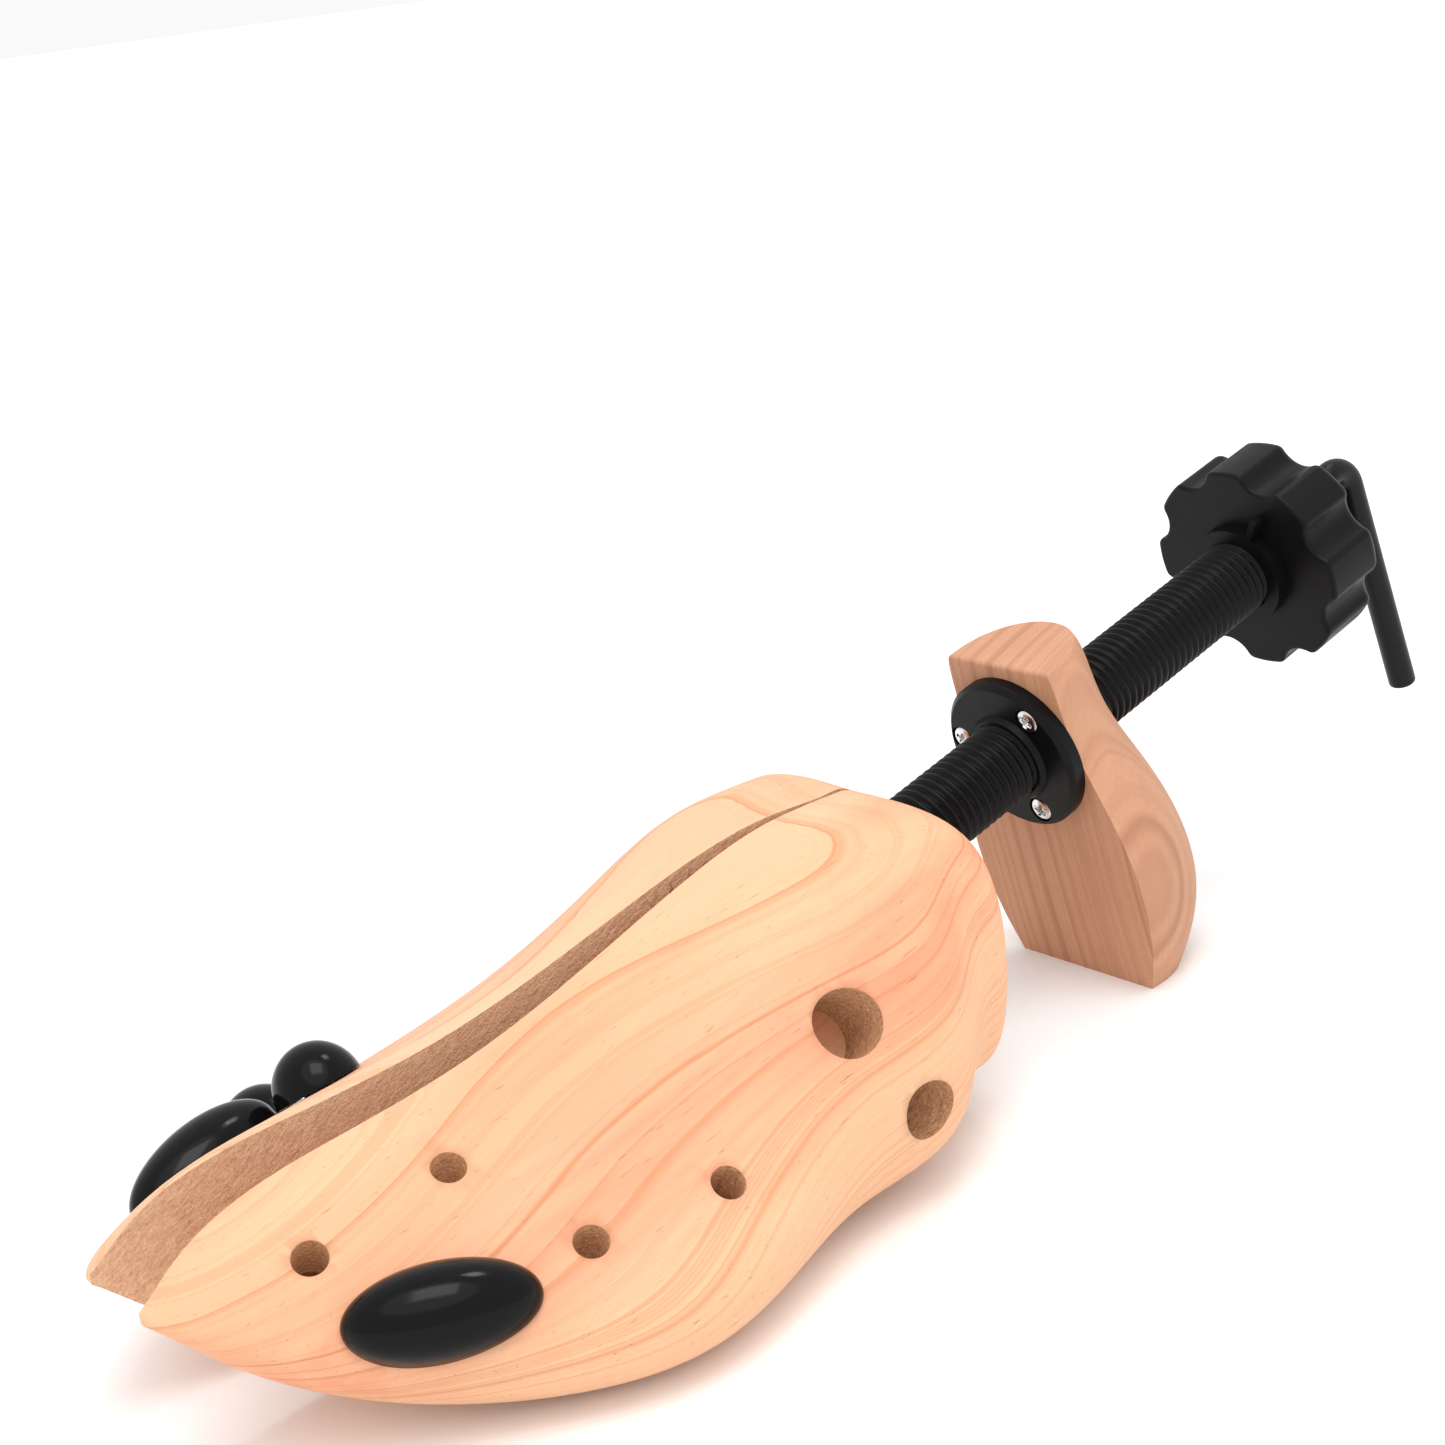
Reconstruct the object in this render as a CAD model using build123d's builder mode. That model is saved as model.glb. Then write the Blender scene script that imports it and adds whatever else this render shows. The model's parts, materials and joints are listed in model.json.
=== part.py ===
"""Two-way adjustable shoe tree: split wooden forepart, screw tube, heel block and crank.

Frame: +X runs from the toe to the knob, +Z is up, the floor is Z = 0, and the origin is
the middle of the object's bottom. The left half is on the -Y side. All sizes are in mm.
The screw tube climbs towards the heel, so its parts are placed by their distance along
the tube's axis from the forepart's rear face, positive towards the knob.
"""

import os
from math import atan2, cos, radians, sin, tan

from build123d import *

os.makedirs("parts", exist_ok=True)

# ---- driving dimensions --------------------------------------------------------------

REAR_FACE_X = -0.79  # puts the origin under the middle of the object's box
AXIS_HEIGHT = 42.3  # of the tube's axis at the forepart's rear face
AXIS_CLIMB = 14.1  # degrees
OPENING = 3.1  # degrees that each half is swung outwards at rest
PARTING_GAP = 0.3  # from the middle plane to a half's inner face when closed

# Forepart sections, from the rear face to the toe: distance, top, bottom, half width
# and how flat the crown is, from 0 for a ridge to 1 for a square shoulder.
SECTIONS = (
    (0.0, 60.0, 8.0, 40.0, 0.78),
    (24.0, 59.2, 6.5, 43.0, 0.72),
    (48.0, 55.0, 3.0, 44.0, 0.50),
    (71.5, 48.3, 0.7, 48.3, 0.30),
    (95.5, 42.8, 0.12, 50.8, 0.20),
    (119.5, 40.5, 3.0, 39.8, 0.20),
    (140.0, 38.5, 10.5, 25.0, 0.21),
    (153.0, 33.5, 19.8, 13.2, 0.23),
    (158.0, 29.8, 24.8, 6.8, 0.26),
    (160.0, 28.4, 26.6, 2.6, 0.27),
)
REAR_ROUNDING = 8.0
SOLE_SHARE = 0.70  # flat sole width, as a share of the half width; the curve is made for it

ROD_RADIUS = 3.0
ROD_TOE_END = -98.0
ROD_REAR = 131.0  # where the straight length ends and the crank starts
ROD_BEND_AT = 151.5
ROD_BEND_RADIUS = 5.0
CRANK_NECK_AT = 134.5
CRANK_RISE = 8.5
CRANK_LENGTH = 50.0
CRANK_LEAN = 3.5  # degrees towards the left from straight down

THREAD_RADIUS = 8.0  # the tube's crest
THREAD_RELIEF = 0.4  # clearance round the rod inside the tube
RUNNING_FIT = 0.05  # radial clearance of every shaft in its bore
SEAT_GAP = 0.02  # radial clearance where a piece is fixed in its seat

NECK_RADIUS = 5.0
NECK_REAR = -5.6
TUBE_COLLAR_REAR = -17.1
TUBE_COLLAR_LENGTH = 5.0
NECK_FRONT = TUBE_COLLAR_REAR - TUBE_COLLAR_LENGTH
WASHER_THICKNESS = 1.4
THRUST_COLLAR_LENGTH = 5.0
THRUST_PLAY = 0.3
TUBE_END = 124.5

PIN_BACK = 11.0  # hinge pins, behind them the halves swing inwards
PIN_ACROSS = 9.0
PIN_RADIUS = 1.5
BARREL_RADIUS = 4.4
BARREL_BOTTOM = 15.0
BARREL_TOP = 26.0
KNUCKLE_GAP = 0.3
KNUCKLE_HEIGHT = 3.6
RING_RADIUS = 9.0

LEAF_INSIDE = 14.5  # inner face of the hinge leaf, from the middle plane
LEAF_THICKNESS = 2.0
LEAF_LENGTH = 36.0

WEDGE_MIDDLE = -76.0
WEDGE_LENGTH = 14.0
WEDGE_HALF_HEIGHT = 7.0
WEDGE_WIDE = 12.7  # half width at its heel end
WEDGE_NARROW = 9.7  # half width at its toe end
WEDGE_TOE_TRAVEL = 12.0
WEDGE_HEEL_TRAVEL = 14.0
RAMP_GAP = 0.35
RAMP_THICKNESS = 2.5

KNOB_FRONT = 113.5
KNOB_THICKNESS = 16.0
KNOB_RADIUS = 22.7
KNOB_LOBES = 8
SCALLOP_RADIUS = 5.5
SCALLOP_OUT = 25.6
HUB_RADIUS = 10.8
HUB_DEPTH = 3.0

BLOCK_FRONT = 41.0
FLANGE_RADIUS = 16.0
FLANGE_THICKNESS = 3.5
SPIGOT_RADIUS = 10.5
SPIGOT_LENGTH = 12.0
SCREW_CIRCLE = 12.2
SCREW_START = 9.0  # degrees round the tube

# Heel block sections, from its top down: height over the axis, half width, depth.
BLOCK_SECTIONS = (
    (19.0, 13.0, 17.0),
    (6.0, 14.5, 19.0),
    (-5.0, 17.0, 21.5),
    (-17.0, 20.5, 25.5),
    (-32.0, 22.0, 29.0),
    (-44.0, 20.5, 29.0),
    (-55.0, 17.0, 23.0),
    (-61.0, 15.0, 15.0),
)

# Drilled sockets of one half: distance from the rear face, distance out, height, then
# the direction it faces as toe to heel, outwards and upwards.
SOCKET_RADIUS = 2.9
SOCKET_DEPTH = 14.0
SOCKETS = {
    "toe": ((-138.0, 13.8, 31.5), (-0.23, 0.58, 0.78)),
    "top": ((-112.4, 15.1, 35.4), (-0.12, 0.46, 0.88)),
    "side": ((-102.9, 35.9, 24.4), (-0.15, 0.56, 0.81)),
    "waist": ((-79.0, 40.8, 24.6), (-0.16, 0.66, 0.74)),
    "bunion": ((-126.8, 29.6, 22.5), (-0.28, 0.64, 0.72)),
}
# The right half is drilled for the other foot's sore spots.
RIGHT_SOCKETS = {
    "top": ((-109.0, 21.5, 32.6), (-0.15, 0.52, 0.84)),
    "side": ((-112.0, 41.0, 19.0), (-0.27, 0.78, 0.56)),
    "bunion": ((-130.0, 25.0, 25.2), (-0.30, 0.62, 0.72)),
}
LARGE_SOCKET = ((-45.6, 35.9, 37.0), (-0.11, 0.82, 0.56), 6.0, 13.0)
LOWER_SOCKET = ((-38.5, 38.5, 20.5), (0.28, 0.96, -0.09), 5.2, 13.0)

PEG_LENGTH = 12.5
LARGE_PLUG = (15.2, 7.4, 7.5)  # half length, half width and height
SMALL_PLUG = (8.0, 8.0, 8.6)
LARGE_PLUG_TURN = -22.0  # degrees, on the left half: its heel end is the lower one
PLUG_SKIRT = 4.0  # how far a plug's wall runs down to the wood's curve
PLUG_GAP = 0.3

# ---- places and directions -----------------------------------------------------------

ALONG = Vector(cos(radians(AXIS_CLIMB)), 0, sin(radians(AXIS_CLIMB)))
UPWARD = Vector(-sin(radians(AXIS_CLIMB)), 0, cos(radians(AXIS_CLIMB)))
ACROSS = Vector(0, 1, 0)
AXIS_START = Vector(REAR_FACE_X, 0, AXIS_HEIGHT)
TUBE_AXIS = Axis(AXIS_START, ALONG)
# Local x along the tube and local y upwards, for profiles that turn about the tube.
TUBE_SIDE = Plane(AXIS_START, x_dir=ALONG, z_dir=-ACROSS)
# Local x along the tube and local y across it, looking down.
TUBE_TOP = Plane(AXIS_START, x_dir=ALONG, z_dir=UPWARD)
LEFT, RIGHT = -1, 1


def at_tube(along, across=0.0, up=0.0):
    """A point given by its distances along, across and over the tube's axis."""
    return AXIS_START + ALONG * along + ACROSS * across + UPWARD * up


def across_tube(along):
    """The plane square to the tube, local x to the right half's side, local y up."""
    return Plane(at_tube(along), x_dir=ACROSS, z_dir=ALONG)


def axis_level(distance):
    """Height of the tube's axis at a distance from the rear face, negative to the toe."""
    return AXIS_HEIGHT + distance * tan(radians(AXIS_CLIMB))


def swung(side, distance, out, height):
    """A point of a half, given as if it were closed, moved to where it is at rest."""
    turn = -side * radians(OPENING)
    dx = distance + PIN_BACK
    dy = side * (out - PIN_ACROSS)
    x = REAR_FACE_X - PIN_BACK + dx * cos(turn) - dy * sin(turn)
    y = side * PIN_ACROSS + dx * sin(turn) + dy * cos(turn)
    return Vector(x, y, height)


def swung_direction(side, along, out, up):
    """A direction of a half, given as if it were closed."""
    turn = -side * radians(OPENING)
    dy = side * out
    direction = Vector(along * cos(turn) - dy * sin(turn), along * sin(turn) + dy * cos(turn), up)
    return direction.normalized()


def half_plane(side, distance, out, height, normal):
    """A plane on a half, at a closed point and facing a closed direction."""
    length = swung_direction(side, 1, 0, 0)
    facing = swung_direction(side, *normal)
    sideways = length - facing * length.dot(facing)
    x_dir = sideways if sideways.length > 0.01 else Vector(0, 0, 1)
    return Plane(swung(side, distance, out, height), x_dir=x_dir, z_dir=facing)


def half_floor(side, height):
    """A level plane on a half: local x to the heel, local y outwards on the right half."""
    return Plane(swung(side, 0, 0, height), x_dir=swung_direction(side, 1, 0, 0), z_dir=(0, 0, 1))


def finished(solid, name):
    """Name a piece and write it."""
    solid.label = name
    export_step(solid, f"parts/{name}.step")


def turned(name, outline):
    """A piece of revolution about the tube's axis, from (along, radius) corners."""
    with BuildPart() as piece:
        with BuildSketch(TUBE_SIDE):
            with BuildLine():
                Polyline(*outline, close=True)
            make_face()
        revolve(axis=TUBE_AXIS)
    finished(piece.part, name)
    return piece.part


def tube_ring(name, rear, front, outer, bore):
    """A plain ring round the tube's axis."""
    return turned(name, [(rear, bore), (front, bore), (front, outer), (rear, outer)])


# ---- forepart halves -----------------------------------------------------------------


def blank_section(distance, top, bottom, width, crown):
    """One section of the left half: a flat inner face and sole, and one curve over both."""

    def corner(across, up):
        return PARTING_GAP + across * (width - PARTING_GAP), bottom + up * (top - bottom)

    plane = Plane(
        swung(LEFT, -distance, 0, 0),
        x_dir=swung_direction(LEFT, 0, 1, 0),
        z_dir=swung_direction(LEFT, -1, 0, 0),
    )
    with BuildSketch(plane) as face:
        with BuildLine():
            Line(corner(0, 0), corner(0, 1))
            Bezier(
                corner(0, 1),
                corner(0.03 + crown, 1),
                corner(0.76 + 0.38 * crown, 0.24 + 0.91 * crown),
                corner(1.40 - 0.34 * crown, 0.56 - 0.45 * crown),
                corner(SOLE_SHARE + 0.28, 0),
                corner(SOLE_SHARE, 0),
            )
            Line(corner(SOLE_SHARE, 0), corner(0, 0))
        make_face()
    return face.sketch


with BuildPart() as left_blank:
    loft([blank_section(*section) for section in SECTIONS])
    rear_edges = left_blank.faces().sort_by(Axis.X)[-1].edges()
    fillet(rear_edges.sort_by(Axis.Y)[:-1], REAR_ROUNDING)

right_blank = mirror(left_blank.part, about=Plane.XZ)
BLANKS = {LEFT: left_blank.part, RIGHT: right_blank}


def mouth(side, place, facing):
    """The plane where a socket meets the wood: its origin is on the surface."""
    plane = half_plane(side, *place, facing)
    hits = BLANKS[side].find_intersection_points(Axis(plane.origin, plane.z_dir))
    outermost = max(hits, key=lambda hit: (hit[0] - plane.origin).dot(plane.z_dir))
    return Plane(outermost[0], x_dir=plane.x_dir, z_dir=plane.z_dir)


def sockets_of(side):
    """Every small socket's mouth on one half, by name."""
    places = SOCKETS | RIGHT_SOCKETS if side == RIGHT else SOCKETS
    return {name: mouth(side, *place) for name, place in places.items()}


def moved_plane(plane, distance):
    """A plane moved along the way it faces."""
    return Plane(plane.origin + plane.z_dir * distance, x_dir=plane.x_dir, z_dir=plane.z_dir)


def bore(plane, radius, length):
    """Cut a round hole from a plane, the way it faces."""
    with BuildSketch(plane) as end:
        Circle(radius)
    extrude(end.sketch, amount=length, mode=Mode.SUBTRACT)


def drill(plane, radius, depth):
    """Cut a flat-bottomed hole from a mouth plane into the wood."""
    above = 8.0
    bore(moved_plane(plane, -depth), radius, depth + above)


def carve(plane, outline, amount, both=False):
    """Cut a pocket from an outline of corners drawn on a plane."""
    with BuildSketch(plane) as pocket:
        with BuildLine():
            Polyline(*outline, close=True)
        make_face()
    extrude(pocket.sketch, amount=amount, both=both, mode=Mode.SUBTRACT)


LEAF_REAR = -6.0
LEAF_FRONT = LEAF_REAR - LEAF_LENGTH
KNUCKLE_BOTTOM = BARREL_BOTTOM - KNUCKLE_GAP - KNUCKLE_HEIGHT
KNUCKLE_TOP = BARREL_TOP + KNUCKLE_GAP + KNUCKLE_HEIGHT
LEAF_SCREWS = (-27.0, -37.0)
LEAF_SCREW_LEVEL = 20.5
LEAF_SCREW_RADIUS = 1.5
LEAF_SCREW_LENGTH = 10.0

RAMP_SLOPE = (WEDGE_WIDE - WEDGE_NARROW) / WEDGE_LENGTH
RAMP_FRONT = WEDGE_MIDDLE - WEDGE_LENGTH / 2 - WEDGE_TOE_TRAVEL
RAMP_REAR = WEDGE_MIDDLE + WEDGE_LENGTH / 2 + WEDGE_HEEL_TRAVEL
RAMP_HALF_HEIGHT = 6.0
RAMP_SCREW_AT = (RAMP_FRONT + RAMP_REAR) / 2

SPRING_AT = -44.0
SPRING_LEVEL = 43.5
SPRING_RADIUS = 3.0
SPRING_WIRE = 0.8
SPRING_PIN_OUT = 13.0
SPRING_PIN_RADIUS = 1.0
SPRING_BORE = 4.2


def ramp_face(along):
    """Distance of a ramp's working face from the middle plane."""
    return WEDGE_NARROW + RAMP_GAP + (along - WEDGE_MIDDLE + WEDGE_LENGTH / 2) * RAMP_SLOPE


def hollow(side):
    """Cut the channels for the hinge, the rod, the wedge and the spring into a half."""
    leaf_out = LEAF_INSIDE + LEAF_THICKNESS
    clear = 1.0
    floor = half_floor(side, KNUCKLE_BOTTOM - clear)
    leaf_box = [
        (LEAF_FRONT - 0.2, 0),
        (LEAF_FRONT - 0.2, side * leaf_out),
        (-4.0, side * leaf_out),
        (-4.0, 0),
    ]
    carve(floor, leaf_box, KNUCKLE_TOP - KNUCKLE_BOTTOM + 2 * clear)
    relief = [(-12.0, 0), (-12.0, side * PARTING_GAP), (5.0, side * 2.4), (5.0, 0)]
    carve(half_floor(side, -5), relief, 90)
    carve(
        TUBE_TOP,
        [(-30.0, 0), (-30.0, side * 11.0), (8.0, side * 11.0), (8.0, 0)],
        10.5,
        both=True,
    )
    carve(
        TUBE_TOP,
        [(RAMP_REAR, 0), (RAMP_REAR, side * 8.0), (-29.0, side * 8.0), (-29.0, 0)],
        7.5,
        both=True,
    )
    deep = RAMP_THICKNESS
    front, rear = RAMP_FRONT - 1.5, RAMP_REAR + 1.0
    chamber = [
        (front - 3.0, 0),
        (front - 3.0, side * 8.2),
        (front, side * (ramp_face(front) + deep)),
        (rear, side * (ramp_face(rear) + deep)),
        (rear, 0),
    ]
    carve(TUBE_TOP, chamber, WEDGE_HALF_HEIGHT + 1.0, both=True)
    bore(half_plane(side, SPRING_AT, 0, SPRING_LEVEL, (0, 1, 0)), SPRING_BORE, SPRING_PIN_OUT + 2.5)
    pin_start = half_plane(side, SPRING_AT - 7.0, SPRING_PIN_OUT, SPRING_LEVEL, (1, 0, 0))
    bore(pin_start, SPRING_PIN_RADIUS + SEAT_GAP, 14.0)
    for place in LEAF_SCREWS:
        hole = half_plane(side, place, leaf_out, LEAF_SCREW_LEVEL, (0, 1, 0))
        bore(hole, LEAF_SCREW_RADIUS + SEAT_GAP, LEAF_SCREW_LENGTH)
    bore(ramp_screw_plane(side), LEAF_SCREW_RADIUS + SEAT_GAP, RAMP_THICKNESS + LEAF_SCREW_LENGTH)


def ramp_screw_plane(side):
    """The working face of a ramp at its screw, facing into the wood."""
    slant = atan2(RAMP_SLOPE, 1)
    inward = (ACROSS * side * cos(slant) - ALONG * sin(slant)).normalized()
    origin = at_tube(RAMP_SCREW_AT, side * ramp_face(RAMP_SCREW_AT))
    return Plane(origin, x_dir=UPWARD, z_dir=inward)


SOCKET_MOUTHS = {side: sockets_of(side) for side in (LEFT, RIGHT)}


def drill_sockets(side):
    """Cut every plug socket of a half, small and large."""
    for plane in SOCKET_MOUTHS[side].values():
        drill(plane, SOCKET_RADIUS, SOCKET_DEPTH)
    for place, facing, radius, depth in (LARGE_SOCKET, LOWER_SOCKET):
        drill(mouth(side, place, facing), radius, depth)


with BuildPart() as forepart_left_half:
    add(left_blank.part)
    hollow(LEFT)
    drill_sockets(LEFT)
finished(forepart_left_half.part, "forepart_left_half")

with BuildPart() as forepart_right_half:
    add(right_blank)
    hollow(RIGHT)
    drill_sockets(RIGHT)
finished(forepart_right_half.part, "forepart_right_half")

# ---- hinge ---------------------------------------------------------------------------

PIN_X = REAR_FACE_X - PIN_BACK
PIN_PLACES = {LEFT: (PIN_X, -PIN_ACROSS), RIGHT: (PIN_X, PIN_ACROSS)}
YOKE_DEPTH = 11.0
YOKE_ALONG = -PIN_BACK / cos(radians(AXIS_CLIMB))

with BuildPart() as hinge_yoke:
    with BuildSketch(across_tube(YOKE_ALONG - YOKE_DEPTH / 2)):
        Circle(RING_RADIUS)
    extrude(amount=YOKE_DEPTH)
    with BuildSketch(Plane.XY.offset(BARREL_BOTTOM)):
        with Locations((PIN_X, 0)):
            SlotCenterToCenter(2 * PIN_ACROSS, 2 * BARREL_RADIUS, rotation=90)
    extrude(amount=BARREL_TOP - BARREL_BOTTOM)
    with BuildSketch(Plane.XY.offset(BARREL_BOTTOM)):
        with Locations((PIN_X, 0)):
            Rectangle(6.0, 7.0)
    extrude(amount=axis_level(-PIN_BACK) - BARREL_BOTTOM)
    with BuildSketch(across_tube(YOKE_ALONG - YOKE_DEPTH)):
        Circle(NECK_RADIUS + RUNNING_FIT)
    extrude(amount=2 * YOKE_DEPTH, mode=Mode.SUBTRACT)
    with BuildSketch(Plane.XY.offset(BARREL_BOTTOM - 1)):
        with Locations(*PIN_PLACES.values()):
            Circle(PIN_RADIUS + SEAT_GAP)
    extrude(amount=BARREL_TOP - BARREL_BOTTOM + 2, mode=Mode.SUBTRACT)
finished(hinge_yoke.part, "hinge_yoke")


def hinge_pin(side, name):
    """A vertical pin, fixed in the yoke, that a half turns on."""
    with BuildPart() as pin:
        with BuildSketch(Plane.XY.offset(KNUCKLE_BOTTOM - 0.4)):
            with Locations(PIN_PLACES[side]):
                Circle(PIN_RADIUS)
        extrude(amount=KNUCKLE_TOP - KNUCKLE_BOTTOM + 0.8)
        chamfer(pin.edges().filter_by(GeomType.CIRCLE), 0.3)
    finished(pin.part, name)


def hinge_leaf(side, name):
    """A half's hinge leaf: a plate on the pocket's wall with two knuckles on the pin."""
    with BuildPart() as leaf:
        with BuildSketch(half_floor(side, KNUCKLE_BOTTOM)):
            with Locations(((LEAF_FRONT + LEAF_REAR) / 2, side * (LEAF_INSIDE + LEAF_THICKNESS / 2))):
                Rectangle(LEAF_LENGTH, LEAF_THICKNESS)
        extrude(amount=KNUCKLE_TOP - KNUCKLE_BOTTOM)
        for level in (KNUCKLE_BOTTOM, KNUCKLE_TOP - KNUCKLE_HEIGHT):
            with BuildSketch(half_floor(side, level)):
                with Locations((-PIN_BACK, side * PIN_ACROSS)):
                    Circle(4.2)
                with Locations((-PIN_BACK, side * (PIN_ACROSS + LEAF_INSIDE + 0.5) / 2)):
                    Rectangle(8.4, LEAF_INSIDE + 0.5 - PIN_ACROSS)
            extrude(amount=KNUCKLE_HEIGHT)
        with BuildSketch(Plane.XY.offset(KNUCKLE_BOTTOM - 1)):
            with Locations(PIN_PLACES[side]):
                Circle(PIN_RADIUS + RUNNING_FIT)
        extrude(amount=KNUCKLE_TOP - KNUCKLE_BOTTOM + 2, mode=Mode.SUBTRACT)
        for place in LEAF_SCREWS:
            with BuildSketch(half_plane(side, place, LEAF_INSIDE - 1, LEAF_SCREW_LEVEL, (0, 1, 0))):
                Circle(LEAF_SCREW_RADIUS + SEAT_GAP)
            extrude(amount=LEAF_THICKNESS + 2, mode=Mode.SUBTRACT)
    finished(leaf.part, name)


def pan_screw(plane, radius, length, head_radius, head_height):
    """A screw with a rounded head: the plane is under the head, facing down the shank."""
    with BuildSketch(plane) as shank:
        Circle(radius)
    extrude(shank.sketch, amount=length)
    with BuildSketch(plane) as head:
        Circle(head_radius)
    extrude(head.sketch, amount=-head_height)


def cross_slot(plane, head_height, length):
    """A cross recess in a screw's head."""
    width = 0.9
    depth = 0.55 * head_height
    with BuildSketch(moved_plane(plane, -head_height)) as cross:
        Rectangle(length, width)
        Rectangle(width, length)
    extrude(cross.sketch, amount=depth, mode=Mode.SUBTRACT)


def leaf_screws(side, name):
    """The two wood screws that hold a hinge leaf."""
    with BuildPart() as screws:
        for place in LEAF_SCREWS:
            plane = half_plane(side, place, LEAF_INSIDE, LEAF_SCREW_LEVEL, (0, 1, 0))
            pan_screw(plane, LEAF_SCREW_RADIUS, LEAF_THICKNESS + LEAF_SCREW_LENGTH - 1, 2.7, 1.6)
            cross_slot(plane, 1.6, 3.2)
    finished(screws.part, name)


for side, word in ((LEFT, "left"), (RIGHT, "right")):
    hinge_pin(side, f"hinge_pin_{word}")
    hinge_leaf(side, f"hinge_leaf_{word}")
    leaf_screws(side, f"leaf_screws_{word}")

# ---- spreader: ramps, wedge, rod and spring --------------------------------------------


def ramp_plate(side, name):
    """A half's slanted plate that the wedge pushes on."""
    with BuildPart() as ramp:
        with BuildSketch(TUBE_TOP):
            with BuildLine():
                Polyline(
                    (RAMP_FRONT, side * ramp_face(RAMP_FRONT)),
                    (RAMP_REAR, side * ramp_face(RAMP_REAR)),
                    (RAMP_REAR, side * (ramp_face(RAMP_REAR) + RAMP_THICKNESS)),
                    (RAMP_FRONT, side * (ramp_face(RAMP_FRONT) + RAMP_THICKNESS)),
                    close=True,
                )
            make_face()
        extrude(amount=RAMP_HALF_HEIGHT, both=True)
        with BuildSketch(ramp_screw_plane(side)):
            Circle(2.4)
        extrude(amount=1.2, mode=Mode.SUBTRACT)
        with BuildSketch(ramp_screw_plane(side)):
            Circle(LEAF_SCREW_RADIUS + SEAT_GAP)
        extrude(amount=2 * RAMP_THICKNESS, mode=Mode.SUBTRACT)
    finished(ramp.part, name)


def ramp_screw(side, name):
    """The screw of a ramp plate, its flat head sunk below the working face."""
    plane = ramp_screw_plane(side)
    seat = moved_plane(plane, 1.2)
    with BuildPart() as screw:
        pan_screw(seat, LEAF_SCREW_RADIUS, LEAF_SCREW_LENGTH, 2.3, 1.0)
        cross_slot(seat, 1.0, 2.8)
    finished(screw.part, name)


def spring_pin(side, name):
    """The cross pin in a half that holds one end of the spring."""
    with BuildPart() as pin:
        with BuildSketch(half_plane(side, SPRING_AT - 6.5, SPRING_PIN_OUT, SPRING_LEVEL, (1, 0, 0))):
            Circle(SPRING_PIN_RADIUS)
        extrude(amount=13.0)
    finished(pin.part, name)


for side, word in ((LEFT, "left"), (RIGHT, "right")):
    ramp_plate(side, f"ramp_plate_{word}")
    ramp_screw(side, f"ramp_screw_{word}")
    spring_pin(side, f"spring_pin_{word}")

with BuildPart() as wedge_nut:
    with BuildSketch(TUBE_TOP):
        heel_end = WEDGE_MIDDLE + WEDGE_LENGTH / 2
        toe_end = WEDGE_MIDDLE - WEDGE_LENGTH / 2
        with BuildLine():
            Polyline(
                (toe_end, -WEDGE_NARROW),
                (heel_end, -WEDGE_WIDE),
                (heel_end, WEDGE_WIDE),
                (toe_end, WEDGE_NARROW),
                close=True,
            )
        make_face()
    extrude(amount=WEDGE_HALF_HEIGHT, both=True)
    with BuildSketch(across_tube(toe_end - 1)):
        Circle(ROD_RADIUS + RUNNING_FIT)
    extrude(amount=WEDGE_LENGTH + 2, mode=Mode.SUBTRACT)
finished(wedge_nut.part, "wedge_nut")

SPRING_X = swung(LEFT, SPRING_AT, SPRING_PIN_OUT, 0).X
SPRING_PIN_Y = -swung(LEFT, SPRING_AT, SPRING_PIN_OUT, 0).Y
SPRING_COIL = 2 * (SPRING_PIN_Y - 5.5)

with BuildPart() as return_spring:
    coil_start = Plane((SPRING_X, -SPRING_COIL / 2, SPRING_LEVEL), x_dir=(1, 0, 0), z_dir=(0, 1, 0))
    with BuildSketch(coil_start):
        Circle(SPRING_RADIUS)
        Circle(SPRING_RADIUS - SPRING_WIRE, mode=Mode.SUBTRACT)
    extrude(amount=SPRING_COIL)
    for side in (LEFT, RIGHT):
        hook_middle = (SPRING_X, side * SPRING_PIN_Y, SPRING_LEVEL)
        hook_radius = SPRING_PIN_RADIUS + 0.1 + SPRING_WIRE / 2
        with BuildSketch(Plane((SPRING_X, side * (SPRING_COIL / 2 - 0.5), SPRING_LEVEL), z_dir=(0, side, 0))):
            with Locations((0, 0)):
                Circle(SPRING_RADIUS - SPRING_WIRE / 2)
        extrude(amount=0.8)
        with BuildSketch(Plane((SPRING_X, side * (SPRING_COIL / 2), SPRING_LEVEL), z_dir=(0, side, 0))):
            Circle(SPRING_WIRE / 2)
        extrude(amount=SPRING_PIN_Y - SPRING_COIL / 2 - hook_radius + 0.1)
        ring_plane = Plane(hook_middle, x_dir=(0, 1, 0), z_dir=(1, 0, 0))
        with Locations(ring_plane.location):
            Torus(hook_radius, SPRING_WIRE / 2)
finished(return_spring.part, "return_spring")

THRUST_RADIUS = 6.5
WASHER_REAR = NECK_FRONT - THRUST_PLAY
WASHER_FRONT = WASHER_REAR - WASHER_THICKNESS
THRUST_COLLAR_REAR = WASHER_FRONT - 0.1
THRUST_COLLAR_FRONT = THRUST_COLLAR_REAR - THRUST_COLLAR_LENGTH
COLLAR_PIN_RADIUS = 1.0
COLLAR_PIN_AT = THRUST_COLLAR_REAR - THRUST_COLLAR_LENGTH / 2
# From the thrust collar's left side straight through to its right side.
COLLAR_PIN_PLANE = Plane(at_tube(COLLAR_PIN_AT, -THRUST_RADIUS), x_dir=ALONG, z_dir=ACROSS)

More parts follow.
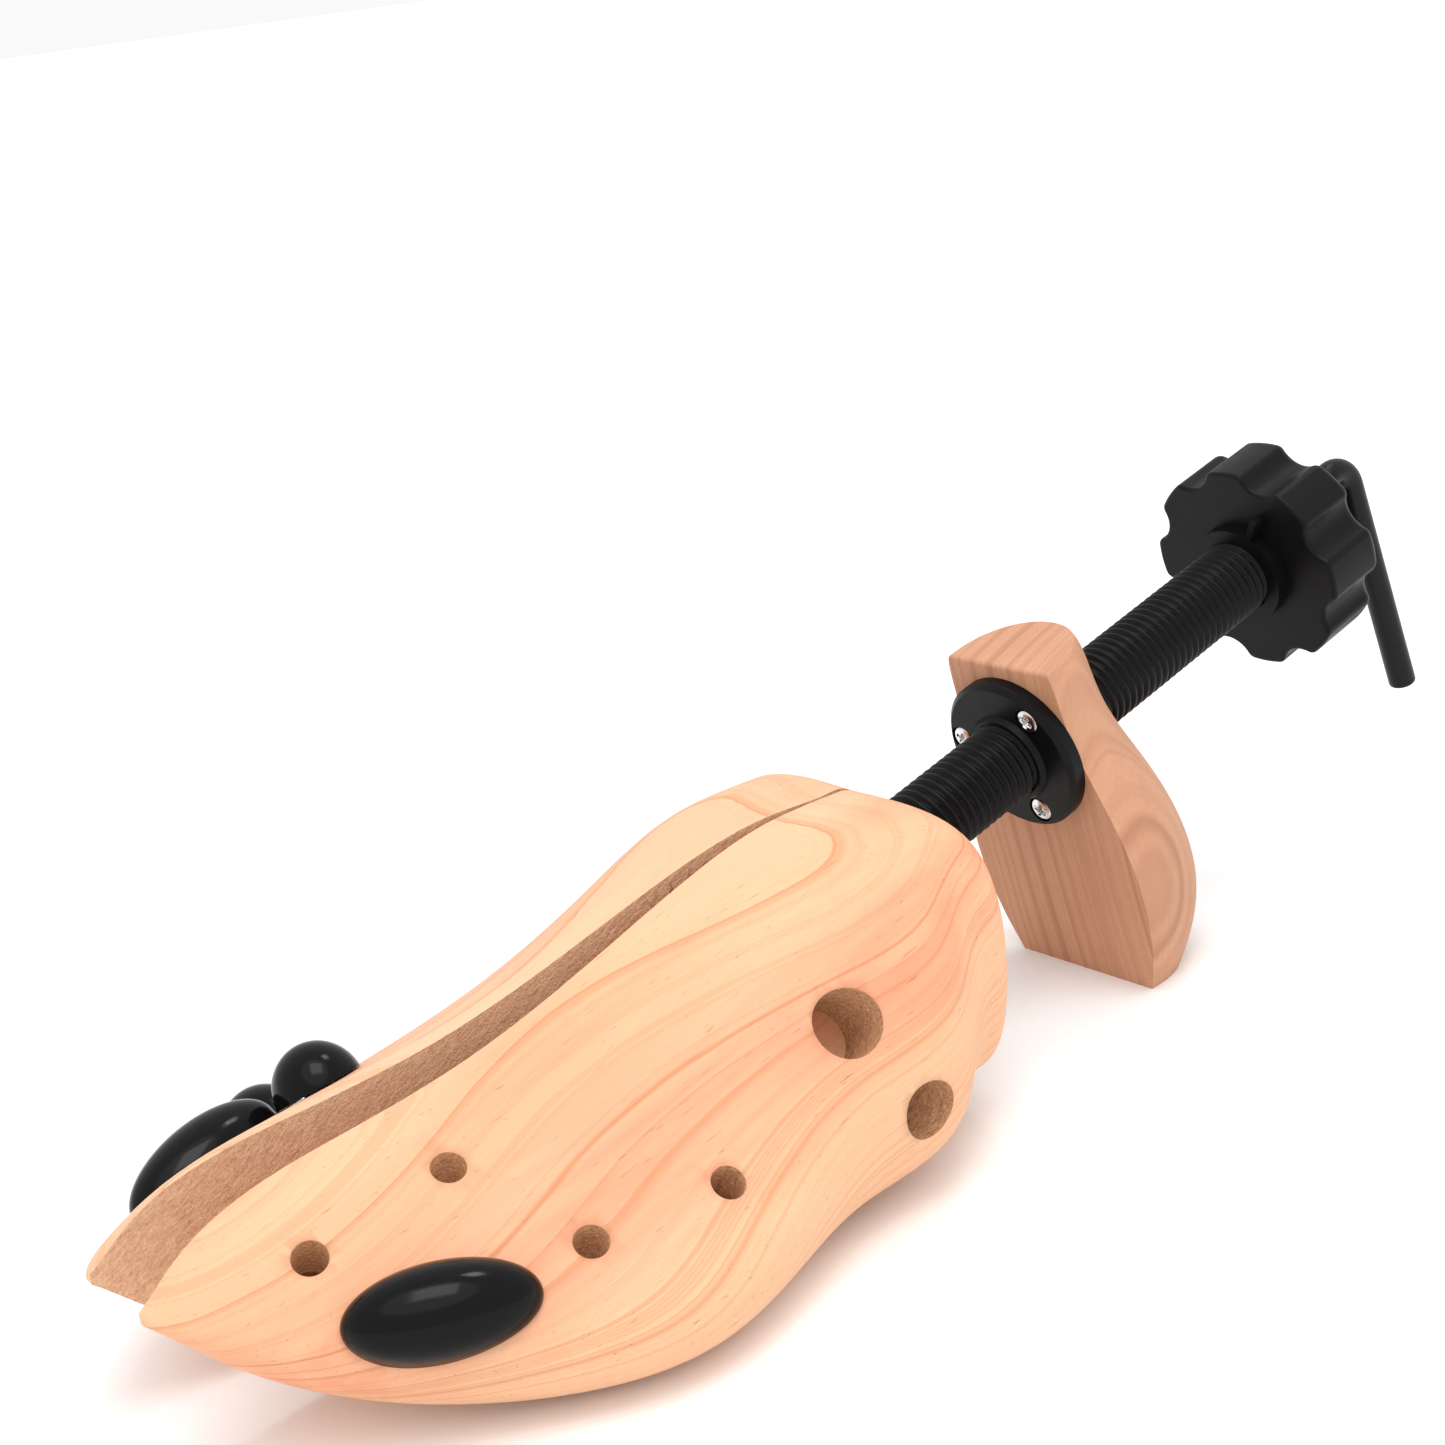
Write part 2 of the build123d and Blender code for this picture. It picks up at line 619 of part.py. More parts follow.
with BuildPart() as spreader_rod:
    with BuildSketch(across_tube(ROD_TOE_END)):
        Circle(ROD_RADIUS)
    extrude(amount=ROD_REAR - ROD_TOE_END)
    chamfer(spreader_rod.faces().sort_by(Axis.X)[0].edges(), 0.8)
    lean = radians(CRANK_LEAN)
    leg_direction = UPWARD * -cos(lean) - ACROSS * sin(lean)
    neck_start = at_tube(CRANK_NECK_AT)
    neck_top = at_tube(ROD_BEND_AT) - leg_direction * CRANK_RISE
    leg_end = at_tube(ROD_BEND_AT) + leg_direction * CRANK_LENGTH
    with BuildLine():
        crank_line = FilletPolyline(
            at_tube(ROD_REAR), neck_start, neck_top, leg_end, radius=ROD_BEND_RADIUS
        )
    with BuildSketch(across_tube(ROD_REAR)):
        Circle(ROD_RADIUS)
    sweep(path=crank_line)
    fillet(spreader_rod.faces().sort_by(Axis(neck_top, leg_direction))[-1].edges(), 0.8)
    bore(COLLAR_PIN_PLANE, COLLAR_PIN_RADIUS + SEAT_GAP, 2 * THRUST_RADIUS)
finished(spreader_rod.part, "spreader_rod")

with BuildPart() as thrust_collar:
    with BuildSketch(across_tube(THRUST_COLLAR_FRONT)):
        Circle(THRUST_RADIUS)
        Circle(ROD_RADIUS + SEAT_GAP, mode=Mode.SUBTRACT)
    extrude(amount=THRUST_COLLAR_LENGTH)
    bore(COLLAR_PIN_PLANE, COLLAR_PIN_RADIUS + SEAT_GAP, 2 * THRUST_RADIUS)
finished(thrust_collar.part, "thrust_collar")

with BuildPart() as collar_pin:
    with BuildSketch(moved_plane(COLLAR_PIN_PLANE, 0.3)):
        Circle(COLLAR_PIN_RADIUS)
    extrude(amount=2 * THRUST_RADIUS - 0.6)
finished(collar_pin.part, "collar_pin")

tube_ring("thrust_washer", WASHER_REAR, WASHER_FRONT, THRUST_RADIUS, ROD_RADIUS + RUNNING_FIT)

# ---- screw tube and knob ---------------------------------------------------------------

CHAMFER = 1.0
turned(
    "threaded_tube",
    [
        (NECK_FRONT, ROD_RADIUS + RUNNING_FIT),
        (NECK_FRONT, NECK_RADIUS),
        (NECK_REAR, NECK_RADIUS),
        (NECK_REAR, THREAD_RADIUS - CHAMFER),
        (NECK_REAR + CHAMFER, THREAD_RADIUS),
        (TUBE_END, THREAD_RADIUS),
        (TUBE_END, ROD_RADIUS + THREAD_RELIEF),
        (NECK_REAR + 3, ROD_RADIUS + THREAD_RELIEF),
        (NECK_REAR + 2, ROD_RADIUS + RUNNING_FIT),
    ],
)
tube_ring("tube_collar", TUBE_COLLAR_REAR, NECK_FRONT, 7.5, NECK_RADIUS + SEAT_GAP)

KNOB_REAR = KNOB_FRONT + KNOB_THICKNESS

with BuildPart() as knob:
    with BuildSketch(across_tube(KNOB_FRONT)):
        Circle(KNOB_RADIUS)
        with PolarLocations(SCALLOP_OUT, KNOB_LOBES, start_angle=360 / KNOB_LOBES / 2):
            Circle(SCALLOP_RADIUS, mode=Mode.SUBTRACT)
        fillet(vertices(), 2.0)
    extrude(amount=KNOB_THICKNESS)
    fillet(knob.faces().sort_by(TUBE_AXIS)[-1].edges(), 2.5)
    fillet(knob.faces().sort_by(TUBE_AXIS)[0].edges(), 0.8)
    with BuildSketch(across_tube(KNOB_FRONT - HUB_DEPTH)):
        Circle(HUB_RADIUS)
    extrude(amount=HUB_DEPTH + 1)
    with BuildSketch(across_tube(KNOB_FRONT - HUB_DEPTH)):
        with PolarLocations(HUB_RADIUS + 2.0, 1, start_angle=120):
            Rectangle(6.0, 1.4)
    extrude(amount=HUB_DEPTH + 1)
    with BuildSketch(across_tube(KNOB_FRONT - HUB_DEPTH - 1)):
        Circle(THREAD_RADIUS + SEAT_GAP)
    extrude(amount=TUBE_END + SEAT_GAP - KNOB_FRONT + HUB_DEPTH + 1, mode=Mode.SUBTRACT)
    with BuildSketch(across_tube(TUBE_END - 1)):
        Circle(4.5 + SEAT_GAP)
    extrude(amount=KNOB_REAR - TUBE_END + 2, mode=Mode.SUBTRACT)
finished(knob.part, "knob")

turned(
    "knob_bush",
    [
        (TUBE_END + 0.1, ROD_RADIUS + RUNNING_FIT),
        (TUBE_END + 0.1, 4.5),
        (KNOB_REAR + SEAT_GAP, 4.5),
        (KNOB_REAR + SEAT_GAP, 6.0),
        (KNOB_REAR + 1.2, 6.0),
        (KNOB_REAR + 1.2, ROD_RADIUS + RUNNING_FIT),
    ],
)

# ---- heel block --------------------------------------------------------------------------


def block_section(up, width, depth):
    """One level of the heel block: flat front and a rounded back."""
    plane = Plane(at_tube(0, 0, up), x_dir=ALONG, z_dir=UPWARD)
    shoulder = 0.12 * depth
    with BuildSketch(plane) as level:
        with BuildLine():
            Line((BLOCK_FRONT, -width), (BLOCK_FRONT, width))
            Line((BLOCK_FRONT, width), (BLOCK_FRONT + shoulder, width))
            Bezier(
                (BLOCK_FRONT + shoulder, width),
                (BLOCK_FRONT + 0.62 * depth, width),
                (BLOCK_FRONT + depth, 0.5523 * width),
                (BLOCK_FRONT + depth, 0),
            )
            Bezier(
                (BLOCK_FRONT + depth, 0),
                (BLOCK_FRONT + depth, -0.5523 * width),
                (BLOCK_FRONT + 0.62 * depth, -width),
                (BLOCK_FRONT + shoulder, -width),
            )
            Line((BLOCK_FRONT + shoulder, -width), (BLOCK_FRONT, -width))
        make_face()
    return level.sketch


def screw_planes(along):
    """The planes of the three flange screws at a distance along the tube, facing heelwards."""
    planes = []
    for count in range(3):
        angle = radians(SCREW_START + 120 * count)
        origin = at_tube(along, SCREW_CIRCLE * cos(angle), SCREW_CIRCLE * sin(angle))
        spoke = ACROSS * cos(angle) + UPWARD * sin(angle)
        planes.append(Plane(origin, x_dir=spoke, z_dir=ALONG))
    return planes


FLANGE_SCREW_RADIUS = 1.2
FLANGE_SCREW_LENGTH = 9.0
SCREW_HEAD_RADIUS = 2.6
SCREW_HEAD_SUNK = 1.6

with BuildPart() as heel_block:
    loft([block_section(*section) for section in BLOCK_SECTIONS])
    with BuildSketch(Plane.XY.offset(-30)):
        with Locations((REAR_FACE_X + 60, 0)):
            Rectangle(120, 80)
    extrude(amount=30, mode=Mode.SUBTRACT)
    top_edges = heel_block.faces().sort_by(Axis.Z)[-1].edges()
    fillet(top_edges, 0.8)
    with BuildSketch(across_tube(BLOCK_FRONT)):
        Circle(SPIGOT_RADIUS + SEAT_GAP)
    extrude(amount=SPIGOT_LENGTH, mode=Mode.SUBTRACT)
    with BuildSketch(across_tube(BLOCK_FRONT)):
        Circle(THREAD_RADIUS + 0.6)
    extrude(amount=50, mode=Mode.SUBTRACT)
    for plane in screw_planes(BLOCK_FRONT):
        with BuildSketch(plane):
            Circle(FLANGE_SCREW_RADIUS + SEAT_GAP)
        extrude(amount=FLANGE_SCREW_LENGTH, mode=Mode.SUBTRACT)
finished(heel_block.part, "heel_block")

FLANGE_FRONT = BLOCK_FRONT - FLANGE_THICKNESS

with BuildPart() as heel_flange_nut:
    with BuildSketch(TUBE_SIDE):
        with BuildLine():
            Polyline(
                (FLANGE_FRONT - 1.2, THREAD_RADIUS + RUNNING_FIT),
                (FLANGE_FRONT - 1.2, 8.8),
                (FLANGE_FRONT, 9.4),
                (FLANGE_FRONT, FLANGE_RADIUS - 1.0),
                (FLANGE_FRONT + 1.0, FLANGE_RADIUS),
                (BLOCK_FRONT, FLANGE_RADIUS),
                (BLOCK_FRONT, SPIGOT_RADIUS),
                (BLOCK_FRONT + SPIGOT_LENGTH - 0.3, SPIGOT_RADIUS),
                (BLOCK_FRONT + SPIGOT_LENGTH - 0.3, THREAD_RADIUS + RUNNING_FIT),
                close=True,
            )
        make_face()
    revolve(axis=TUBE_AXIS)
    for plane in screw_planes(FLANGE_FRONT):
        with BuildSketch(plane):
            Circle(SCREW_HEAD_RADIUS + 0.1)
        extrude(amount=SCREW_HEAD_SUNK, mode=Mode.SUBTRACT)
        with BuildSketch(plane):
            Circle(FLANGE_SCREW_RADIUS + SEAT_GAP)
        extrude(amount=FLANGE_THICKNESS + 1, mode=Mode.SUBTRACT)
finished(heel_flange_nut.part, "heel_flange_nut")

with BuildPart() as flange_screws:
    for plane in screw_planes(FLANGE_FRONT + SCREW_HEAD_SUNK):
        shank = FLANGE_THICKNESS - SCREW_HEAD_SUNK + FLANGE_SCREW_LENGTH - 1
        pan_screw(plane, FLANGE_SCREW_RADIUS, shank, SCREW_HEAD_RADIUS, SCREW_HEAD_SUNK + 0.3)
        cross_slot(plane, SCREW_HEAD_SUNK + 0.3, 3.0)
finished(flange_screws.part, "flange_screws")

# ---- spot plugs ----------------------------------------------------------------------------


def spot_plug(side, socket, size, name, turn=0.0):
    """A domed plug on a peg: its underside follows the wood, a little clear of it."""
    seat = SOCKET_MOUTHS[side][socket]
    long_way = seat.x_dir * cos(radians(turn)) + seat.y_dir * sin(radians(turn))
    plane = Plane(seat.origin, x_dir=long_way, z_dir=seat.z_dir)
    half_length, half_width, height = size
    ball = Sphere(1.0, mode=Mode.PRIVATE)
    dome = scale(ball, by=(half_length, half_width, height), mode=Mode.PRIVATE)
    lifted = BLANKS[side].moved(Location(plane.z_dir * PLUG_GAP))
    peg_foot = moved_plane(plane, -PEG_LENGTH)
    rim = moved_plane(plane, -PLUG_SKIRT)
    with BuildPart() as plug:
        add(plane.location * dome)
        with BuildSketch(rim):
            Ellipse(half_length, half_width)
        extrude(amount=PLUG_SKIRT)
        with BuildSketch(rim):
            Rectangle(4 * half_length, 4 * half_length)
        extrude(amount=-3 * height, mode=Mode.SUBTRACT)
        add(lifted, mode=Mode.SUBTRACT)
        with BuildSketch(peg_foot):
            Circle(SOCKET_RADIUS - RUNNING_FIT)
        extrude(amount=PEG_LENGTH + 2.0)
    finished(plug.part, name)


spot_plug(LEFT, "bunion", LARGE_PLUG, "large_plug_left", LARGE_PLUG_TURN)
spot_plug(RIGHT, "bunion", LARGE_PLUG, "large_plug_right")
spot_plug(RIGHT, "top", SMALL_PLUG, "small_plug_top")
spot_plug(RIGHT, "side", SMALL_PLUG, "small_plug_side")
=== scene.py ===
"""Looks of the two-way adjustable shoe tree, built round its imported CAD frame.

Everything is in metres in the CAD's own frame: +X from the toe to the knob, +Z up.
Procedural textures work in millimetres, so that their scales read as real sizes.
"""

import json
from math import cos, exp, pi, radians, sin, tau

import bmesh
import bpy
from mathutils import Matrix, Vector
from mathutils.bvhtree import BVHTree


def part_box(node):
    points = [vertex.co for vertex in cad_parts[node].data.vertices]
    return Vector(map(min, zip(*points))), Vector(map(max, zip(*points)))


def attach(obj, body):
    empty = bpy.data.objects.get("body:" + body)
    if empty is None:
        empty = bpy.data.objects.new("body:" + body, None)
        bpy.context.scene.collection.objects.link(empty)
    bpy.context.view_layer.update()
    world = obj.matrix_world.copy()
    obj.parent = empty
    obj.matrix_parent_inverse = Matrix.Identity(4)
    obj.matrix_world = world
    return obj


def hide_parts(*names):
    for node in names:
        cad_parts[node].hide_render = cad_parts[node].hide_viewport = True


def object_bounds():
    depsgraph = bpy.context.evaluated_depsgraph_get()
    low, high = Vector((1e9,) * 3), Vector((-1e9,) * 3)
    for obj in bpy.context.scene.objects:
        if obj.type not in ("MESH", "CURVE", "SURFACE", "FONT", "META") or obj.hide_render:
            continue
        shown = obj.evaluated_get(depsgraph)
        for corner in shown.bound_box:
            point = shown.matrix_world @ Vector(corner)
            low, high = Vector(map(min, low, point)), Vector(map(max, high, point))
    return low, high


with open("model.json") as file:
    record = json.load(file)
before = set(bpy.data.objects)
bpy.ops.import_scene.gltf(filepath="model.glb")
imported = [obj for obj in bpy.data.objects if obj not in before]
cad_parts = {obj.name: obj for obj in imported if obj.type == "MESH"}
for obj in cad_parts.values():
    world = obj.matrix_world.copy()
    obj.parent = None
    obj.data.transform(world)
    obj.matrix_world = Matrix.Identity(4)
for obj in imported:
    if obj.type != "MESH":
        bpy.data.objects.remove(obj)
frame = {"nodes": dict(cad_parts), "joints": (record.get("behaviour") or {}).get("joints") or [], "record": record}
cad_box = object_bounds()

MM = 0.001
JOINTS = {joint["name"]: joint for joint in frame["joints"]}
AXIS_POINT = Vector(JOINTS["tube_turn"]["pos_m"])
ALONG = -Vector(JOINTS["tube_turn"]["axis"]).normalized()  # towards the knob
ACROSS = Vector((0, 1, 0))
UPWARD = ALONG.cross(ACROSS).normalized()

# ---- node helpers ------------------------------------------------------------------------


class Shader:
    """A material's node tree, with one short call for each kind of node used here."""

    def __init__(self, name, **sockets):
        self.material = bpy.data.materials.new(name)
        self.material.use_nodes = True
        self.tree = self.material.node_tree
        self.surface = self.tree.nodes["Principled BSDF"]
        for socket, value in sockets.items():
            self.surface.inputs[socket.replace("_", " ")].default_value = value

    def put(self, socket, value):
        """Link a value to an input, or set it there."""
        if isinstance(value, bpy.types.NodeSocket):
            self.tree.links.new(value, socket)
        elif value is not None:
            socket.default_value = value

    def node(self, kind, *values, output=0, **settings):
        """Add a node, fill its inputs in order and return one output."""
        made = self.tree.nodes.new(kind)
        for name, value in settings.items():
            setattr(made, name, value)
        for socket, value in zip(made.inputs, values):
            self.put(socket, value)
        return made.outputs[output]

    def math(self, operation, *values):
        return self.node("ShaderNodeMath", *values, operation=operation)

    def place(self):
        """The point on the object, in millimetres."""
        here = self.tree.nodes.new("ShaderNodeTexCoord").outputs["Object"]
        made = self.tree.nodes.new("ShaderNodeVectorMath")
        made.operation = "SCALE"
        self.put(made.inputs[0], here)
        made.inputs["Scale"].default_value = 1 / MM
        return made.outputs[0]

    def moved(self, point, location=(0, 0, 0), rotation=(0, 0, 0), scale=(1, 1, 1)):
        made = self.tree.nodes.new("ShaderNodeMapping")
        for name, value in (("Location", location), ("Rotation", rotation), ("Scale", scale)):
            made.inputs[name].default_value = value
        self.put(made.inputs["Vector"], point)
        return made.outputs[0]

    def noise(self, point, scale, detail=2.0, roughness=0.5):
        """Smooth noise from 0 to 1: scale is how many lumps there are per millimetre."""
        scale = (scale, scale, scale) if isinstance(scale, float) else scale
        made = self.tree.nodes.new("ShaderNodeTexNoise")
        for name, value in (("Scale", 1.0), ("Detail", detail), ("Roughness", roughness)):
            made.inputs[name].default_value = value
        self.put(made.inputs["Vector"], self.moved(point, scale=scale))
        return made.outputs["Fac"]

    def steps(self, value, *stops):
        """A ramp of greys through (position, grey) stops."""
        made = self.tree.nodes.new("ShaderNodeValToRGB")
        elements = made.color_ramp.elements
        while len(elements) < len(stops):
            elements.new(0.5)
        for element, (position, grey) in zip(elements, stops):
            element.position = position
            element.color = (grey, grey, grey, 1)
        self.put(made.inputs[0], value)
        return made.outputs["Color"]

    def mix(self, share, first, second, blend="MIX"):
        """Mix two colours by a share."""
        made = self.tree.nodes.new("ShaderNodeMix")
        made.data_type = "RGBA"
        made.blend_type = blend
        made.clamp_factor = True
        colours = [socket for socket in made.inputs if socket.type == "RGBA"]
        self.put(made.inputs[0], share)
        for socket, value in zip(colours, (first, second)):
            self.put(socket, (*value, 1) if isinstance(value, tuple) else value)
        return next(socket for socket in made.outputs if socket.type == "RGBA")

    def bump(self, height, distance, strength=1.0, under=None):
        """Bump whose height from 0 to 1 is a distance in metres."""
        made = self.tree.nodes.new("ShaderNodeBump")
        made.inputs["Strength"].default_value = strength
        made.inputs["Distance"].default_value = distance
        self.put(made.inputs["Height"], height)
        if under is not None:
            self.put(made.inputs["Normal"], under)
        return made.outputs[0]

    def finish(self, **links):
        """Link the surface's inputs and return the material."""
        for socket, value in links.items():
            self.put(self.surface.inputs[socket.replace("_", " ")], value)
        return self.material


# ---- wood --------------------------------------------------------------------------------


def growth_rings(shader, point, spacing, wander, bend, early):
    """Yearly rings round the local X axis: 0 in the pale early wood, 1 in the late wood.

    spacing is one year's growth in millimetres. wander is how far the rings drift over a
    long stretch of the grain, and bend how far they ripple over a short one. early is the
    share of a year that stays pale.
    """
    flat = shader.node("ShaderNodeSeparateXYZ", point)
    y, z = flat.node.outputs[1], flat.node.outputs[2]
    squares = shader.math("MULTIPLY_ADD", y, y, shader.math("MULTIPLY", z, z))
    radius = shader.math("SQRT", squares)
    drift = shader.noise(point, (0.005, 0.016, 0.016), detail=1.0)
    radius = shader.math("MULTIPLY_ADD", drift, wander, radius)
    ripple = shader.noise(point, (0.022, 0.11, 0.11), detail=2.0)
    radius = shader.math("MULTIPLY_ADD", ripple, bend, radius)
    years = shader.math("DIVIDE", radius, spacing)
    uneven = shader.node("ShaderNodeTexNoise", noise_dimensions="1D")
    shader.put(uneven.node.inputs["W"], shader.math("MULTIPLY", years, 0.31))
    years = shader.math("MULTIPLY_ADD", uneven, 2.2, years)
    part = shader.math("FRACT", years)
    peak = (1 + 2 * early) / 3
    rise = ((0.0, 0.0), (0.6 * early, 0.10), (early, 0.55), (peak, 1.0), (1.0, 0.05))
    late = shader.steps(part, *rise)
    chance = shader.node("ShaderNodeTexWhiteNoise", noise_dimensions="1D")
    shader.put(chance.node.inputs["W"], shader.math("FLOOR", years))
    strength = shader.math("MULTIPLY_ADD", chance, 0.75, 0.25)
    return shader.math("MULTIPLY", late, strength)


STREAK_SWAY = 26.0  # millimetres that the pink streak wanders up and down
STREAK_HALF_WIDTH = 14.0


def pine(name, pith, tilt, streak):
    """Sanded pine with a pink streak, its rings round a pith line under the form.

    pith is the line's place in millimetres, tilt its rise towards the heel in radians,
    and streak the height of the pink streak over it.
    """
    shader = Shader(name, Specular_IOR_Level=0.25)
    here = shader.place()
    level = shader.moved(here, rotation=(0, tilt, 0))
    inside = shader.moved(level, location=[-c for c in pith])
    late = growth_rings(shader, inside, spacing=2.3, wander=7.0, bend=0.7, early=0.84)
    fibre = shader.noise(inside, (0.10, 3.0, 3.0), detail=3.0, roughness=0.6)
    cloud = shader.noise(inside, (0.008, 0.045, 0.045), detail=2.0)
    height = shader.node("ShaderNodeSeparateXYZ", inside).node.outputs[2]
    sway = shader.noise(inside, (0.010, 0.05, 0.05), detail=2.0)
    middle = shader.math("SUBTRACT", height, streak + STREAK_SWAY / 2)
    off = shader.math("MULTIPLY_ADD", sway, STREAK_SWAY, middle)
    share = shader.math("DIVIDE", shader.math("ABSOLUTE", off), STREAK_HALF_WIDTH)
    band = shader.steps(share, (0.0, 1.0), (0.45, 0.62), (1.0, 0.0))
    patches = shader.noise(inside, (0.016, 0.22, 0.22), detail=3.0)
    pink = shader.math("MULTIPLY", band, shader.steps(patches, (0.28, 0.25), (0.66, 1.0)))

    cloudy = shader.steps(cloud, (0.35, 0.0), (0.65, 1.0))
    colour = shader.mix(cloudy, (0.88, 0.535, 0.33), (0.84, 0.47, 0.275))
    colour = shader.mix(shader.math("MULTIPLY", pink, 0.85), colour, (0.80, 0.285, 0.165))
    colour = shader.mix(shader.math("MULTIPLY", late, 0.85), colour, (0.56, 0.215, 0.085))
    threads = shader.steps(fibre, (0.38, 0.0), (0.75, 0.30))
    colour = shader.mix(threads, colour, (0.74, 0.36, 0.19))
    specks = shader.noise(inside, (0.16, 3.2, 3.2), detail=1.0)
    fleck = shader.steps(specks, (0.715, 0.0), (0.77, 0.65))
    colour = shader.mix(fleck, colour, (0.36, 0.13, 0.05))
    rough = shader.math("MULTIPLY_ADD", fibre, 0.16, 0.50)
    sanded = shader.bump(fibre, 0.00012, strength=0.35)
    raised = shader.bump(late, 0.00010, strength=0.25, under=sanded)
    return shader.finish(Base_Color=colour, Roughness=rough, Normal=raised)


def rough_wood(name, pale, dark, depth):
    """Wood as a saw or a drill leaves it: torn fibres, no polish."""
    shader = Shader(name, Specular_IOR_Level=0.15)
    here = shader.place()
    slanted = shader.moved(here, rotation=(0, 0.5, 0))
    torn = shader.noise(slanted, (0.45, 1.5, 1.5), detail=4.0, roughness=0.7)
    crumbs = shader.noise(here, 2.2, detail=3.0, roughness=0.7)
    both = shader.math("MULTIPLY_ADD", crumbs, 0.45, shader.math("MULTIPLY", torn, 0.55))
    colour = shader.mix(shader.steps(both, (0.36, 1.0), (0.62, 0.0)), pale, dark)
    normal = shader.bump(both, depth, strength=0.9)
    return shader.finish(Base_Color=colour, Roughness=0.85, Normal=normal)


BLOCK_LEAN = 0.25  # radians between the heel block's grain and the upright


def block_wood(name, pith, spacing):
    """Browner wood in broad stripes, its rings nearly flat and upright along the block."""
    shader = Shader(name, Specular_IOR_Level=0.25)
    here = shader.place()
    centred = shader.moved(here, location=[-c for c in pith])
    inside = shader.moved(centred, rotation=(0, pi / 2 - BLOCK_LEAN, 0))
    late = growth_rings(shader, inside, spacing=spacing, wander=5.0, bend=0.6, early=0.55)
    fibre = shader.noise(inside, (0.10, 2.8, 2.8), detail=3.0, roughness=0.65)
    cloud = shader.noise(inside, (0.02, 0.09, 0.09), detail=3.0)
    colour = shader.mix(cloud, (0.66, 0.36, 0.22), (0.56, 0.28, 0.165))
    colour = shader.mix(shader.math("MULTIPLY", late, 0.8), colour, (0.38, 0.165, 0.09))
    colour = shader.mix(shader.steps(fibre, (0.35, 0.0), (0.75, 0.35)), colour, (0.42, 0.19, 0.11))
    rough = shader.math("MULTIPLY_ADD", fibre, 0.16, 0.52)
    normal = shader.bump(fibre, 0.00014, strength=0.4)
    return shader.finish(Base_Color=colour, Roughness=rough, Normal=normal)


# ---- plastic and metal ---------------------------------------------------------------------


def satin_plastic(name, grey, roughness, depth):
    """Moulded black plastic: slightly mottled gloss and a faint skin texture."""
    tint = (grey, grey, grey * 1.05, 1)
    shader = Shader(name, Base_Color=tint, Specular_IOR_Level=0.14)
    here = shader.place()
    mottle = shader.noise(here, 0.35, detail=3.0)
    rough = shader.math("MULTIPLY_ADD", mottle, 0.22, roughness - 0.11)
    skin = shader.noise(here, 3.0, detail=2.0)
    return shader.finish(Roughness=rough, Normal=shader.bump(skin, depth, strength=0.5))


def plated(name, colour, roughness, scratch):
    """Plated or drawn metal with fine wear."""
    shader = Shader(name, Metallic=1.0)
    here = shader.place()
    wear = shader.noise(here, (1.2, 4.0, 4.0), detail=3.0, roughness=0.65)
    dull = shader.noise(here, 0.3, detail=2.0)
    tint = shader.mix(dull, colour, tuple(0.8 * c for c in colour))
    rough = shader.math("MULTIPLY_ADD", wear, 0.2, roughness - 0.1)
    normal = shader.bump(wear, scratch, strength=0.4)
    return shader.finish(Base_Color=tint, Roughness=rough, Normal=normal)


def painted_steel(name):
    """Black-coated round bar: satin, with slight orange peel."""
    shader = Shader(name, Base_Color=(0.005, 0.005, 0.0055, 1), Specular_IOR_Level=0.2)
    here = shader.place()
    peel = shader.noise(here, 0.9, detail=2.0)
    rough = shader.math("MULTIPLY_ADD", shader.noise(here, 0.12, detail=3.0), 0.2, 0.24)
    return shader.finish(Roughness=rough, Normal=shader.bump(peel, 0.00008, strength=0.3))


PITH = (0.0, -8.0, -75.0)
GRAIN_TILT = radians(13)
PINE = pine("pine", PITH, GRAIN_TILT, streak=125.0)
SAWN = rough_wood("sawn_pine", (0.90, 0.58, 0.38), (0.62, 0.32, 0.18), 0.0007)
# darker than the pine: partly rough torn end grain, partly painted shade for the insides of holes and pockets
DRILLED_WITH_PAINTED_SHADE = rough_wood("drilled_pine_painted_shade", (0.68, 0.37, 0.20), (0.33, 0.13, 0.055), 0.0008)
BLOCK = block_wood("heel_wood", (60.0, -140.0, 40.0), spacing=5.0)
PLASTIC = satin_plastic("black_plastic", 0.004, 0.40, 0.00004)
GLOSS = satin_plastic("gloss_plug", 0.004, 0.14, 0.00001)
COATED = painted_steel("black_steel")
ZINC = plated("zinc_steel", (0.60, 0.59, 0.55), 0.38, 0.00004)
SPRING = plated("spring_steel", (0.42, 0.42, 0.41), 0.36, 0.00003)
BRASS = plated("brass", (0.72, 0.53, 0.24), 0.36, 0.00004)
CHROME = plated("chrome", (0.80, 0.80, 0.80), 0.17, 0.00002)

FINISHES = {
    "pine": PINE,
    "heel_wood": BLOCK,
    "black_plastic": PLASTIC,
    "gloss_plug": GLOSS,
    "black_steel": COATED,
    "zinc_steel": ZINC,
    "spring_steel": SPRING,
    "brass": BRASS,
    "chrome": CHROME,
}
for subpart in frame["record"]["subparts"]:
    node = frame["nodes"][subpart["node"]]
    node.data.materials.clear()
    node.data.materials.append(FINISHES[subpart["material_slot"]])

# ---- pieces ----------------------------------------------------------------------------------


def new_piece(name, mesh, body, slot, *replaced):
    """Link a mesh as a piece that rides on a body and stands for CAD nodes."""
    piece = bpy.data.objects.new(name, mesh)
    bpy.context.scene.collection.objects.link(piece)
    if replaced:
        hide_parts(*replaced)
    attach(piece, body)
    return piece


def skin(mesh, sections):
    """Faces between rings of points, each ring a closed loop. Returns the rings' vertices."""
    rings = [[mesh.verts.new(point) for point in ring] for ring in sections]
    for ring, following in zip(rings, rings[1:]):
        for i in range(len(ring)):
            j = (i + 1) % len(ring)
            mesh.faces.new((ring[i], ring[j], following[j], following[i]))
    return rings


def saved(mesh, name, sharp=35.0):
    """Turn a bmesh into mesh data with smooth shading except at sharp edges."""
    bmesh.ops.recalc_face_normals(mesh, faces=mesh.faces)
    data = bpy.data.meshes.new(name)
    mesh.to_mesh(data)
    mesh.free()
    data.shade_smooth()
    data.set_sharp_from_angle(angle=radians(sharp))
    return data


